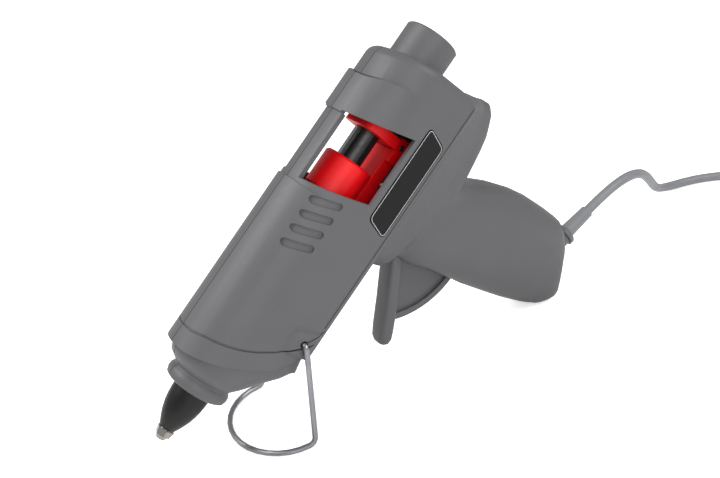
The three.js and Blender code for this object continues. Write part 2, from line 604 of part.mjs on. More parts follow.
function housing() {
  const outer = union([barrelSolid(0), noseSolid(0, noseEndX), handleSolid(0), padSolid()]);
  const cavity = union([barrelSolid(barrel.wall), noseSolid(nose.wall, noseEndX + nose.wall),
    handleSolid(handle.wall)]);
  const full = outer.subtract(cavity).add(innerFittings().intersect(outer));
  const shell = cut(full, [...sideOpenings(), ...triggerOpenings(), ...endOpenings(), benchSolid()]);
  const far = barrel.length + handle.depth;
  const near = block(-far, far, -wideY, 0, -far, far);
  const badgeSeat = sideProfile(badgeOutline(0), -wideY, -sideY + badge.sink);
  return {
    left: largest(shell.intersect(near).subtract(badgeSeat)),
    right: largest(shell.subtract(near)),
  };
}

// Working parts
function inletTube() {
  const { outerRadius: r, boreRadius: b, flangeRadius: f, flangeX: fx, flangeThickness: t, depth } = inlet;
  const tail = r - inlet.step;
  return turned([[0, b + inlet.funnel], [0, r - inlet.rimRound], [-inlet.rimRound, r], [fx, r], [fx, f],
    [fx - t, f], [fx - t, tail], [-depth, tail], [-depth, b], [-inlet.funnelDepth, b],
    [0, b + inlet.funnel]], 36);
}

const clampPin = {
  x: (clamp.frontX + clamp.rearX) / 2, z: (carriage.keelTop + carriage.keelBottom) / 2,
};
const pinBore = rodY(clampPin.x, clampPin.z, clamp.pinRadius + seatGap, -wideY, wideY, 16);

function carriageSolid() {
  const c = carriage;
  const body = turned([[c.rearX, 0], [c.rearX, c.radius - c.round], [c.rearX - c.round, c.radius],
    [c.frontX + c.round, c.radius], [c.frontX, c.radius - c.round], [c.frontX, 0]], 36);
  const keelEnd = clamp.frontX - seatGap;
  const keel = block(c.frontX, keelEnd, -c.keelHalfWidth, c.keelHalfWidth, c.keelBottom, c.keelTop);
  const earY = c.keelHalfWidth + c.earThickness;
  const earFrontX = clamp.frontX - c.earRoot;
  const ears = mirrored(c.keelHalfWidth, earY, (y0, y1) => block(
    earFrontX, clamp.rearX + c.earPast, y0, y1, c.keelBottom, c.keelTop,
  ));
  const earBridge = block(earFrontX, keelEnd, -earY, earY, c.keelBottom, c.keelTop);
  const lug = block(peg.x - c.lugHalfLength, peg.x + c.lugHalfLength, -c.keelHalfWidth, c.keelHalfWidth,
    peg.z - c.lugBelow, c.keelBottom + weld);
  const pegBar = rodY(peg.x, peg.z, c.pegRadius, -c.pegHalfLength, c.pegHalfLength, 16);
  const bore = disc(c.frontX - overrun, c.rearX + overrun, c.boreRadius, 36);
  return cut(union([body, keel, ...ears, earBridge, lug, pegBar]), [bore, pinBore]);
}

function clampSolid() {
  const { halfWidth: w, corner: r, topZ, waistZ, bottomZ } = clamp;
  const foot = carriage.keelHalfWidth - seatGap;
  const shape = new THREE.Shape();
  shape.moveTo(-foot, bottomZ);
  shape.lineTo(foot, bottomZ);
  shape.lineTo(foot, waistZ);
  shape.lineTo(w, waistZ);
  shape.lineTo(w, topZ - r);
  shape.quadraticCurveTo(w, topZ, w - r, topZ);
  shape.lineTo(-w + r, topZ);
  shape.quadraticCurveTo(-w, topZ, -w, topZ - r);
  shape.lineTo(-w, waistZ);
  shape.lineTo(-foot, waistZ);
  shape.closePath();
  const hole = new THREE.Path();
  hole.absarc(0, 0, clamp.boreRadius, 0, 2 * Math.PI, true);
  shape.holes.push(hole);
  return barrelSection(shape, clamp.frontX, clamp.rearX).subtract(pinBore);
}

// Trigger bar, from its hub to its tip: [share of reach, shares of thickness that its middle is set back
// by and half of it is thick, share of width that half of it is wide].
const barStations = [
  [0, 0, 0.4, 0.34], [0.108, 0, 0.42, 0.34], [0.16, 0.01, 0.46, 0.5], [0.34, 0.06, 0.49, 0.5],
  [0.6, 0.07, 0.5, 0.5], [0.85, 0.01, 0.5, 0.48], [0.94, -0.01, 0.47, 0.45], [0.985, -0.01, 0.34, 0.36],
  [1, 0, 0.17, 0.2],
];
const barSquareness = 3;

function triggerSolid() {
  const t = trigger;
  const { x: px, z: pz } = triggerPivot;
  const rest = radians(t.restDegrees);
  const end = radians(t.webEndDegrees);
  const spot = (radius, angle) => [px - radius * Math.cos(angle), pz - radius * Math.sin(angle)];
  const sides = 20;
  const bar = loft(barStations.map(([share, back, thick, wide]) => Array.from({ length: sides }, (_, i) => {
    const angle = (i / sides) * 2 * Math.PI;
    const [x, z] = spot(share * t.reach, rest);
    const offset = t.thickness * (back + thick * power(Math.sin(angle), 2 / barSquareness));
    const y = wide * t.width * power(Math.cos(angle), 2 / barSquareness);
    return new THREE.Vector3(x + offset * Math.sin(rest), y, z - offset * Math.cos(rest));
  })));
  const sector = (outer, inner) => {
    const steps = 12;
    const angles = Array.from({ length: steps + 1 }, (_, i) => mix(rest, end, i / steps));
    return [...angles.map((angle) => spot(outer, angle)),
      ...angles.reverse().map((angle) => spot(inner, angle))];
  };
  const web = sideProfile(sector(t.webRadius, t.webRoot), -t.webThickness / 2, t.webThickness / 2);
  const rimSector = sector(t.webRadius, t.webRadius - t.rimWidth);
  const rim = sideProfile(rimSector, -t.rimThickness / 2, t.rimThickness / 2);
  const armPoint = (height, offset) => [
    px + height * Math.sin(halfSqueeze) + offset * Math.cos(halfSqueeze),
    pz + height * Math.cos(halfSqueeze) - offset * Math.sin(halfSqueeze),
  ];
  const slotHalf = carriage.pegRadius + t.armSlotGap;
  const armTop = armHeight + t.armPast;
  const slotFloor = armHeight - t.armPast;
  const armOutline = [armPoint(0, -t.armHalf), armPoint(0, t.armHalf), armPoint(armTop, t.armHalf),
    armPoint(armTop, slotHalf), armPoint(slotFloor, slotHalf), armPoint(slotFloor, -slotHalf),
    armPoint(armTop, -slotHalf), armPoint(armTop, -t.armHalf)];
  const arms = mirrored(t.armInner, t.hubHalfWidth, (y0, y1) => sideProfile(armOutline, y0, y1));
  const hub = rodY(px, pz, t.hubRadius, -t.hubHalfWidth, t.hubHalfWidth);
  return union([hub, bar, web, rim, ...arms]).subtract(rodY(px, pz, pin.radius + pin.gap, -wideY, wideY));
}

// The torsion spring sits on the trigger's hub: one leg pushes the arm back, the other bears on a post.
function aboutHub(angle, radius, y) {
  return new THREE.Vector3(triggerPivot.x + radius * Math.sin(angle), y, triggerPivot.z + radius * Math.cos(angle));
}
const heading = (angle) => new THREE.Vector3(Math.sin(angle), 0, Math.cos(angle));

function springSolid() {
  const w = spring;
  const start = halfSqueeze - Math.PI / 2;
  const end = radians(w.restDegrees) + Math.PI / 2 - 2 * Math.PI * w.turns;
  const beforeArm = trigger.armHalf + w.wireRadius + seatGap / 2;
  const armEnd = aboutHub(start, beforeArm, springOuterY).addScaledVector(heading(halfSqueeze), w.armLeg);
  const points = [armEnd.clone().add(new THREE.Vector3(0, w.hook, 0)), armEnd];
  const steps = 40;
  for (let i = 0; i <= steps; i += 1) {
    const share = i / steps;
    points.push(aboutHub(mix(start, end, share), w.coilRadius, mix(springOuterY, springInnerY, share)));
  }
  const postEnd = aboutHub(end, w.coilRadius, springInnerY);
  points.push(postEnd.addScaledVector(heading(radians(w.restDegrees)), w.postLeg));
  return tube(points, w.wireRadius, 5, 80);
}

function springPostPlace() {
  const rest = radians(spring.restDegrees);
  const beside = spring.coilRadius - spring.wireRadius - spring.postRadius - seatGap;
  return aboutHub(rest, spring.postReach, 0).addScaledVector(heading(rest + Math.PI / 2), beside);
}

// Heating and nozzle
function chamberSolid() {
  const c = chamber;
  const spigotEnd = ring.frontX - seatGap;
  const trunk = turned([[c.rearX, 0], [c.rearX, c.spigotRadius], [spigotEnd, c.spigotRadius],
    [spigotEnd, c.radius], [chamberFrontX, c.radius], [chamberFrontX, c.neckRadius],
    [chamberNeckX, c.neckRadius], [chamberNeckX, 0]], 16);
  const thickness = (alongChamber(1) - alongChamber(0)) * c.finShare;
  const fins = Array.from({ length: c.finCount }, (_, i) => {
    const x = alongChamber(i / (c.finCount - 1));
    return disc(x - thickness, x, c.finRadius, 16);
  });
  const bore = turned([[c.rearX + overrun, 0], [c.rearX + overrun, c.boreRadius],
    [chamberFrontX + c.coneRear, c.boreRadius], [chamberFrontX + c.coneFront, c.channelRadius],
    [chamberNeckX - overrun, c.channelRadius], [chamberNeckX - overrun, 0]], 16);
  return union([trunk, ...fins]).subtract(bore);
}

function sleeveSolid() {
  const s = sleeve;
  const spigot = chamber.spigotRadius + seatGap;
  return turned([[s.rearX, s.boreRadius + s.round], [s.rearX, s.radius - s.round],
    [s.rearX - s.funnel, s.radius], [s.frontX, s.radius], [s.frontX, spigot], [s.neckX, spigot],
    [s.neckX, s.boreRadius], [s.rearX - s.funnel, s.boreRadius], [s.rearX, s.boreRadius + s.round]], 24);
}

function ringSolid() {
  const board = barrelSection(archShape(barrel.crown, barrel.wall + seatGap), ring.frontX, ring.rearX);
  const through = (radius, sides) => disc(ring.frontX - overrun, ring.rearX + overrun, radius, sides);
  const leadHoles = [-1, 1].map((sign) => through(lead.radius + lead.holeGap, 16)
    .translate([0, sign * lead.side, lead.height]));
  const below = block(ring.frontX - overrun, ring.rearX + overrun, -wideY, wideY, -wideY - overrun, -ring.flat);
  return cut(board, [through(ring.boreRadius, 32), below, ...leadHoles]);
}

const heaterTop = -chamber.finRadius - seatGap;
const heaterBottom = heaterTop - heater.thickness;

function clipSolid() {
  const c = clip;
  const inner = c.halfWidth - c.thickness;
  const low = heaterBottom - seatGap;
  const outline = [[-c.halfWidth, low - c.thickness], [c.halfWidth, low - c.thickness],
    [c.halfWidth, c.topZ], [inner, c.topZ], [inner, low], [-inner, low], [-inner, c.topZ],
    [-c.halfWidth, c.topZ]];
  const shape = new THREE.Shape(outline.map(([y, z]) => new THREE.Vector2(y, z)));
  return barrelSection(shape, clipSpan.frontX, clipSpan.rearX);
}

function nozzleSolid() {
  const n = nozzle;
  const neckEnd = nozzleHexX - weld;
  const body = turned([[nozzleBaseX, 0], [nozzleBaseX, n.baseRadius], [nozzleShoulderX, n.baseRadius],
    [nozzleHexX + n.neckLength, n.neckRadius], [neckEnd, n.neckRadius], [neckEnd, 0]], 20);
  const hexEnd = nozzleEndX + n.tipLength;
  const hex = new THREE.CylinderGeometry(n.hexRadius * 0.82, n.hexRadius, nozzleHexX - hexEnd, 6);
  hex.rotateZ(Math.PI / 2);
  hex.rotateX(radians(12));
  hex.translate((nozzleHexX + hexEnd) / 2, 0, 0);
  const point = turned([[neckEnd, 0], [neckEnd, n.hexRadius * 0.6], [hexEnd, n.hexRadius * 0.68],
    [nozzleEndX, n.tipRadius], [nozzleEndX, 0]], 18);
  const socket = disc(chamberNeckX - seatGap, nozzleBaseX + overrun, chamber.neckRadius + seatGap, 20);
  const channel = disc(nozzleEndX - overrun, chamberNeckX, n.boreRadius, 12);
  return cut(union([body, solid(hex), point]), [socket, channel]);
}

// Boot on the nozzle, from its lip to its mouth: [share of length, share of base radius].
const bootShares = [
  [0, 1], [0.171, 0.99], [0.336, 0.96], [0.502, 0.89], [0.668, 0.78], [0.815, 0.64], [0.919, 0.52],
  [0.976, 0.45],
];

function bootSolid() {
  const rearX = barrelFrontX - boot.rear;
  const lipX = barrelFrontX - boot.lip;
  const mouthX = barrelFrontX - boot.mouth;
  const wide = nozzle.baseRadius + seatGap;
  const narrow = nozzle.neckRadius + seatGap;
  return turned([[rearX, wide], [rearX, boot.baseRadius],
    ...bootShares.map(([share, radius]) => [mix(lipX, mouthX, share), radius * boot.baseRadius]),
    [mouthX, narrow], [nozzleHexX + nozzle.neckLength, narrow], [nozzleShoulderX, wide], [rearX, wide]], 28);
}

// A heater lead by [share of the finned length, share of its side, share of its rise] up to the ring, then by
// [share of the handle's reach, share of the barrel's half width, share of the handle's depth].
const leadFrontShares = [[0.7525, 0.2, 0], [0.83, 0.31, 0.1], [0.9135, 0.75, 0.85]];
const leadRearShares = [
  [1.045, 0.64, 0.105], [0.893, 0.684, 0.12], [0.74, 0.676, 0.152], [0.629, 0.524, 0.228],
  [0.613, 0.484, 0.355], [0.598, 0.533, 0.507], [0.568, 0.489, 0.621], [0.542, 0.329, 0.722],
  [0.568, 0.116, 0.811],
];

function heaterLead(sign) {
  const y = sign * lead.side;
  const low = (heaterTop + heaterBottom) / 2;
  const end = onLead(-cord.tuckedIn - lead.spare);
  const points = [
    ...leadFrontShares.map(([x, side, rise]) => [alongChamber(x), y * side, mix(low, lead.height, rise)]),
    [ring.frontX - lead.run, y, lead.height], [ring.rearX + lead.run, y, lead.height],
    ...leadRearShares.map(([x, side, z]) => [-x * handle.reach, sign * side * sideY, -z * handle.depth]),
    [end.x, sign * lead.gather, end.z],
  ];
  return tube(points.map((point) => new THREE.Vector3(...point)), lead.radius, lead.sides, lead.steps);
}

// Stand: points are measured from its pivot, upright, with the nozzle's way negative.
function standSpot(x, y, z) {
  return new THREE.Vector3(standPivotX + along.x * x + up.x * z, y, stand.pivotZ + along.z * x + up.z * z);
}

function standSolid() {
  const s = stand;
  const legX = -s.leg * Math.tan(radians(s.leanDegrees));
  const turns = Array.from({ length: 6 }, (_, i) => (i / 5) * (Math.PI / 2));
  const half = (sign) => [
    standSpot(0, sign * (sideY - s.hook), 0),
    ...turns.map((turn) => standSpot(
      0, sign * (s.legHalfWidth - s.knee * (1 - Math.sin(turn))), -s.knee * (1 - Math.cos(turn)),
    )),
    ...turns.map((turn) => standSpot(
      legX - s.bend * (1 - Math.cos(turn)), sign * s.footHalfWidth, -s.leg + s.bend * (1 - Math.sin(turn)),
    )),
  ];
  const steps = 16;
  const arc = Array.from({ length: steps - 1 }, (_, i) => {
    const angle = ((i + 1) / steps) * Math.PI;
    return standSpot(legX - s.bend - s.footReach * Math.sin(angle), -s.footHalfWidth * Math.cos(angle), -s.leg);
  });
  return sweep([...half(-1), ...arc, ...half(1).reverse()], s.wireRadius, 10);
}

// Fasteners and lead fittings
function screwSolid([x, z, seat]) {
  const headY = seat + seatGap;
  const slotY = headY + screw.headHeight - screw.driveDepth;
  const long = screw.headRadius * 0.7;
  const thin = screw.driveWidth / 2;
  return cut(rodY(x, z, screw.shankRadius, screw.tipY, headY + weld, 8)
    .add(rodY(x, z, screw.headRadius, headY, headY + screw.headHeight, 14)), [
    block(x - long, x + long, slotY, wideY, z - thin, z + thin),
    block(x - thin, x + thin, slotY, wideY, z - long, z + long),
  ]);
}

function grommetSolid() {
  const g = grommet;
  const end = g.lip + g.flangeThickness;
  return turnedOnLead([[-g.inner, g.boreRadius], [-g.inner, g.radius + g.collar],
    [-g.inner + g.collarLength, g.radius + g.collar], [-g.inner + g.collarLength, g.radius], [g.lip, g.radius],
    [g.lip, g.flangeRadius], [end - g.round, g.flangeRadius], [end, g.flangeRadius - g.round],
    [end, g.boreRadius], [-g.inner, g.boreRadius]], 24);
}

function reliefSolid() {
  const shoulder = -grommet.inner - seatGap;
  const head = shoulder - relief.head;
  return turnedOnLead([[head, leadWay], [head, relief.headRadius], [shoulder, relief.headRadius],
    [shoulder, relief.rootRadius], [grommet.lip + grommet.flangeThickness, relief.rootRadius],
    [relief.reach, relief.tipRadius], [relief.reach, leadWay], [head, leadWay]], 24);
}

function cordClampSolid() {
  const c = cordClamp;
  const depth = leadWay + c.thickness;
  const plate = new THREE.BoxGeometry(c.length, depth, c.width);
  plate.translate(0, -depth / 2, 0);
  plate.rotateY(Math.PI / 2 - leadAngle);
  const middle = onLead(-c.inward);
  plate.translate(middle.x, 0, middle.z);
  const holes = clampScrewPlaces().map(({ x, z }) => rodY(x, z, c.shankRadius + seatGap, -wideY, wideY, 14));
  return cut(solid(plate), [alongLead(leadWay, -cord.tuckedIn - overrun, 0), ...holes]);
}

function clampScrewSolid({ x, z }) {
  const c = cordClamp;
  const seat = -leadWay - c.thickness - seatGap;
  const slotY = seat - c.headHeight + c.driveDepth;
  return rodY(x, z, c.shankRadius, seat, c.tipY, 12)
    .add(rodY(x, z, c.headRadius, seat - c.headHeight, seat + weld / 2, 18))
    .subtract(block(x - c.driveHalf, x + c.driveHalf, -wideY, slotY, z - c.driveWidth / 2, z + c.driveWidth / 2));
}

// Assembly
const gun = new THREE.Group();
const { left, right } = housing();
const badgeOuterY = -sideY + badge.sink - badge.thickness;
const pieces = [
  ['left_housing', left, greyShell],
  ['right_housing', right, greyShell],
  ['inlet_tube', inletTube(), greyShell],
  ['nozzle_boot', bootSolid(), blackRubber],
  ['nozzle_tip', nozzleSolid(), nickel],
  ['melt_chamber', chamberSolid(), castAluminium],
  ['chamber_ring', ringSolid(), heatBoard],
  ['feed_sleeve', sleeveSolid(), blackRubber],
  ['heater_element', block(heaterSpan.frontX, heaterSpan.rearX, -heater.halfWidth, heater.halfWidth,
    heaterBottom, heaterTop), ceramic],
  ['carriage', carriageSolid(), redNylon],
  ['stick_clamp', clampSolid(), redNylon],
  ['clamp_pin', rodY(clampPin.x, clampPin.z, clamp.pinRadius, -carriage.keelHalfWidth - carriage.earThickness,
    carriage.keelHalfWidth + carriage.earThickness, 14), steel],
  ['glue_stick', disc(stick.frontX, stick.rearX, stick.radius, 28), darkPlastic],
  ['trigger', triggerSolid(), greyShell],
  ['trigger_pin', rodY(triggerPivot.x, triggerPivot.z, pin.radius, -pin.halfLength, pin.halfLength), steel],
  ['stand_wire', standSolid(), steel],
  ...screwPlaces.map((place, i) => [`housing_screw_${i + 1}`, screwSolid(place), steel]),
  ['heater_clip', clipSolid(), steel],
  ['heater_lead_near', heaterLead(-1), ceramic],
  ['heater_lead_far', heaterLead(1), ceramic],
  ['return_spring', springSolid(), steel],
  ['cord_clamp', cordClampSolid(), darkPlastic],
  ...clampScrewPlaces().map((place, i) => [`clamp_screw_${i + 1}`, clampScrewSolid(place), steel]),
  ['badge_plate', sideProfile(badgeOutline(seatGap), badgeOuterY, badgeOuterY + badge.thickness), darkPlastic],
  ['cord_grommet', grommetSolid(), blackRubber],
  ['cord_relief', reliefSolid(), greyCord],
];
pieces.forEach(([name, body, material]) => gun.add(toMesh(name, body, material)));

// The gun is pitched about Y, its stand and butt come down to z = 0, and its box is centred on the origin.
gun.rotation.y = -radians(pitchDegrees);
gun.updateMatrixWorld(true);
const box = new THREE.Box3().setFromObject(gun, true);
gun.position.set(-(box.min.x + box.max.x) / 2, 0, -footHeight);
gun.updateMatrixWorld(true);

// The lead rises from the handle, sinks to the bench and ends in a tied coil with its plug on it.
// Each point is [behind the exit, to the far side, above the bench], in shares of the lead's radius.
const cordRouteShares = [
  [10.61, 0.01, 15.46], [14.32, 0.18, 16.65], [18.26, 0.67, 17.05], [22, 1.56, 16.45],
  [25.47, 2.82, 14.93], [28.46, 4.27, 12.88], [31.32, 5.96, 10.65], [34.11, 7.75, 8.41], [36.84, 9.49, 6.22],
  [39.79, 11.16, 4.09], [43.09, 12.44, 2.45], [46.89, 13.06, 1.44], [50.85, 12.76, 1.08],
  [54.58, 11.62, 1.05], [58.13, 9.78, 1.05], [61.4, 7.64, 1.05], [64.72, 5.4, 1.05],
  [68.04, 3.17, 1.05],
];
const exitX = gun.localToWorld(leadExit.clone()).x;
const coilX = exitX + coil.beyond;
const besideCoil = coil.ringRadius + coil.bandHalfWidth + cord.radius + coil.gap;
function coilSpot(degrees, z, radius = besideCoil) {
  const angle = radians(degrees);
  return new THREE.Vector3(coilX + radius * Math.cos(angle), coil.across + radius * Math.sin(angle), z);
}
const cordLine = [
  ...[-cord.tuckedIn, -cord.tuckedIn / 2, 0, cord.straight / 2, cord.straight]
    .map((distance) => gun.localToWorld(onLead(distance))),
  ...cordRouteShares.map(([x, y, z]) => new THREE.Vector3(exitX + x * cord.radius, y * cord.radius, z * cord.radius)),
  coilSpot(coil.fromDegrees, coil.low),
  coilSpot(coil.fromDegrees - coil.stepDegrees, coil.low),
];

function coilSolid() {
  const { ringRadius: r, bandHalfWidth: w, bottom, height, chamfer: c } = coil;
  const top = bottom + height;
  const outline = [[r - w + c, bottom], [r + w - c, bottom], [r + w, bottom + c], [r + w, top - c],
    [r + w - c, top], [r - w + c, top], [r - w, top - c], [r - w, bottom + c], [r - w + c, bottom]];
  const geometry = new THREE.LatheGeometry(outline.map(([x, z]) => new THREE.Vector2(x, z)), 36);
  geometry.rotateX(Math.PI / 2);
  geometry.translate(coilX, coil.across, 0);
  return solid(geometry);
}

function tieSolid() {
  const { bandHalfWidth: w, ringRadius: r, bottom, height } = coil;
  const innerX = r - w - seatGap - tie.clear;
  const outerX = r + w + seatGap;
  const lowZ = bottom - seatGap;
  const highZ = bottom + height + seatGap;
  const strap = block(innerX - tie.thickness, outerX + tie.thickness, -tie.width / 2, tie.width / 2,
    lowZ - tie.thickness, highZ + tie.thickness);
  return strap.subtract(block(innerX, outerX, -tie.width, tie.width, lowZ, highZ))
    .rotate([0, 0, tie.atDegrees]).translate([coilX, coil.across, 0]);
}

// The plug lies flat on the coil: its lead climbs from the coil's top through a quarter turn to the plug's back.
const plugTurn = radians(plug.aimDegrees);
const plugAim = new THREE.Vector3(Math.sin(plugTurn), -Math.cos(plugTurn), 0);
const plugSide = new THREE.Vector3(plugAim.y, -plugAim.x, 0);
const coilTop = coil.bottom + coil.height + seatGap;
const plugHeight = coilTop + plug.faceHalfHeight;
const ridingHeight = coilTop + cord.radius;
const bendMiddle = new THREE.Vector3(coilX, coil.across, plugHeight)
  .addScaledVector(plugAim, plug.aside - coil.ringRadius);
const plugSpot = (distance) => bendMiddle.clone().addScaledVector(plugSide, -plug.aside)
  .addScaledVector(plugAim, distance);

function bendSpot(degrees) {
  const angle = radians(degrees);
  const spot = bendMiddle.clone().addScaledVector(plugAim, -plug.aside * Math.cos(angle))
    .addScaledVector(plugSide, -plug.aside * Math.sin(angle));
  spot.z = mix(ridingHeight, plugHeight, (1 - Math.cos(2 * angle)) / 2);
  return spot;
}

// Plug body: [share of length, shares of half width and half height, squareness].
const plugStations = [
  [0, 0.354, 0.697, 2], [0.278, 0.385, 0.758, 2], [0.472, 0.569, 0.879, 2.4], [0.667, 0.846, 0.97, 3.4],
  [0.833, 1, 1, 5], [1, 1, 1, 5],
];

function plugSolid() {
  const sides = 24;
  return loft(plugStations.map(([share, w, h, squareness]) => Array.from({ length: sides }, (_, i) => {
    const angle = (i / sides) * 2 * Math.PI;
    const point = plugSpot(plug.lead + seatGap + share * plug.length)
      .addScaledVector(plugSide, w * plug.faceHalfWidth * power(Math.cos(angle), 2 / squareness));
    point.z += h * plug.faceHalfHeight * power(Math.sin(angle), 2 / squareness);
    return point;
  })));
}

function plugPin(sign) {
  const start = plugSpot(plug.lead + plug.length + 2 * seatGap)
    .addScaledVector(plugSide, (sign * plug.pinSpacing) / 2);
  const { pinLength, pinRadius, pinRound } = plug;
  const profile = [[0, 0], [0, pinRadius], [pinLength - pinRound, pinRadius], [pinLength, pinRadius * 0.55],
    [pinLength, 0]];
  const geometry = new THREE.LatheGeometry(profile.map(([d, r]) => new THREE.Vector2(r, d)), 16);
  geometry.applyQuaternion(new THREE.Quaternion().setFromUnitVectors(new THREE.Vector3(0, 1, 0), plugAim));
  geometry.translate(start.x, start.y, start.z);
  return solid(geometry);
}

const cordEndLine = [
  ...[2, 1].map((step) => coilSpot(90 + plug.aimDegrees + step * plug.onCoilStep, ridingHeight, coil.ringRadius)),
  ...[0, 1, 2].map((step) => bendSpot(step * plug.bendStep)),
  plugSpot(0), plugSpot(plug.lead / 2), plugSpot(plug.lead),
];

const applicator = new THREE.Group();
applicator.add(gun);
const leadPieces = [
  ['cord', tube(cordLine, cord.radius, cord.sides, cord.steps), greyCord],
  ['cord_coil', coilSolid(), greyCord],
  ['cord_tie', tieSolid(), blackRubber],
  ['cord_end', tube(cordEndLine, cord.radius, cord.sides, 18), greyCord],
  ['plug_body', plugSolid(), darkPlastic],
  ['plug_pin_1', plugPin(-1), nickel],
  ['plug_pin_2', plugPin(1), nickel],
];
leadPieces.forEach(([name, body, material]) => applicator.add(toMesh(name, body, material)));
export default applicator;
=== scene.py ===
import json
import math
import bpy
import bmesh
from mathutils import Matrix, Vector


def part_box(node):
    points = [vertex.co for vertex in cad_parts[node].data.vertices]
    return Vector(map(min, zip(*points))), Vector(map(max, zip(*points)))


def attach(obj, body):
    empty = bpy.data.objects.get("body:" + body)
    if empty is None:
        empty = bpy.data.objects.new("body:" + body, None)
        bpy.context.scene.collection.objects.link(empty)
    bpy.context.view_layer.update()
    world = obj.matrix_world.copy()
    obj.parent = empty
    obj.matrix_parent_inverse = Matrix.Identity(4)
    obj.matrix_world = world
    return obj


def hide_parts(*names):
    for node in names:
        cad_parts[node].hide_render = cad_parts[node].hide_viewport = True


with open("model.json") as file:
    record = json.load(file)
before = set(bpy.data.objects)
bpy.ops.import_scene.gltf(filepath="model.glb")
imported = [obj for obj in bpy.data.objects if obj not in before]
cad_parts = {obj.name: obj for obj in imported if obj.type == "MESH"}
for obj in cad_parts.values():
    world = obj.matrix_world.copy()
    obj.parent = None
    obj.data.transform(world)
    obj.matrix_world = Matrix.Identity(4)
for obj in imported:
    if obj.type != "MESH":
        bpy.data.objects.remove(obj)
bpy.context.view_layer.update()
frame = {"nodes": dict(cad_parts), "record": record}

nodes = frame["nodes"]
mm = 0.001
print("frame loaded:", len(nodes), "solids")

# The barrel is pitched nose down about Y: the inlet's mount gives its direction and its place.
inletMount = next(m for m in frame["record"]["mounts"] if m["name"] == "inlet_rim")
cosPitch, _, sinPitch = inletMount["axis"]
inletMountUp = 10.0


def gunVector(x, y, z):
    return Vector((x * cosPitch - z * sinPitch, y, x * sinPitch + z * cosPitch))


def gunPoint(x, y, z):
    # barrel millimetres to world metres: x back from the inlet's rim, z away from the handle
    return Vector(inletMount["pos_m"]) + gunVector(x, y, z - inletMountUp) * mm


# Camera: place and directions in the barrel's own frame, in millimetres
cameraSetup = {
    "place": (-95.5, -310.0, 213.3),
    "right": (0.5634, -0.5145, -0.6465),
    "forward": (0.0100, 0.7867, -0.6173),
    "lens": 42.4,
    "sensor": 36.0,
}


def makeCamera():
    data = bpy.data.cameras.new("camera")
    data.lens = cameraSetup["lens"]
    data.sensor_width = cameraSetup["sensor"]
    data.sensor_fit = "HORIZONTAL"
    data.clip_start = 0.01
    data.clip_end = 50
    camera = bpy.data.objects.new("camera", data)
    bpy.context.collection.objects.link(camera)
    forward = gunVector(*cameraSetup["forward"]).normalized()
    right = gunVector(*cameraSetup["right"])
    right = (right - right.dot(forward) * forward).normalized()
    turn = Matrix((right, right.cross(forward), -forward)).transposed().to_4x4()
    camera.matrix_world = Matrix.Translation(gunPoint(*cameraSetup["place"])) @ turn
    bpy.context.scene.camera = camera


makeCamera()

# Materials


def colour(hexText, alpha=1.0):
    channels = [int(hexText[i:i + 2], 16) / 255 for i in (1, 3, 5)]
    linear = [c / 12.92 if c <= 0.04045 else ((c + 0.055) / 1.055) ** 2.4 for c in channels]
    return (*linear, alpha)


def addNode(tree, kind, settings=None, inputs=None, links=None):
    # settings are the node's own options, inputs its socket values, links {input: (node, output)}
    node = tree.nodes.new(kind)
    for key, value in (settings or {}).items():
        setattr(node, key, value)
    for key, value in (inputs or {}).items():
        node.inputs[key].default_value = value
    for key, (source, output) in (links or {}).items():
        tree.links.new(source.outputs[output], node.inputs[key])
    return node


def newMaterial(name):
    material = bpy.data.materials.new(name)
    material.use_nodes = True
    material.node_tree.nodes.clear()
    return material, material.node_tree


def finishMaterial(tree, shader):
    addNode(tree, "ShaderNodeOutputMaterial", links={"Surface": (shader, 0)})


def blendColours(tree, factor, low, high):
    # a colour ramp between two (position, hex colour) stops, driven by a node's factor output
    ramp = addNode(tree, "ShaderNodeValToRGB", links={"Fac": factor})
    ramp.color_ramp.elements[0].position = low[0]
    ramp.color_ramp.elements[0].color = colour(low[1])
    ramp.color_ramp.elements[1].position = high[0]
    ramp.color_ramp.elements[1].color = colour(high[1])
    return ramp


# spans of the noise that the tint and the gloss run over
tintSpan = (0.35, 0.65)
glossSpan = (0.3, 0.7)


def noiseOf(tree, place, sizeMm, inputs):
    return addNode(tree, "ShaderNodeTexNoise", inputs={"Scale": 1000 / sizeMm, **inputs},
                   links={"Vector": (place, "Object")})


def spread(tree, value, span, result):
    # a value's span mapped onto a result's span
    return addNode(tree, "ShaderNodeMapRange", inputs={
        "From Min": span[0], "From Max": span[1], "To Min": result[0], "To Max": result[1]},
        links={"Value": value})


sparkGrey = {
    "low": "#4f4f51", "high": "#515153", "roughness": (0.44, 0.56),
    "grainMm": 0.55, "cloudMm": 26.0, "grainDepthMm": 0.08, "grainStrength": 0.6,
    "edgeMm": 0.55, "seamMm": (0.144, 0.384), "seamTone": 0.16,
}


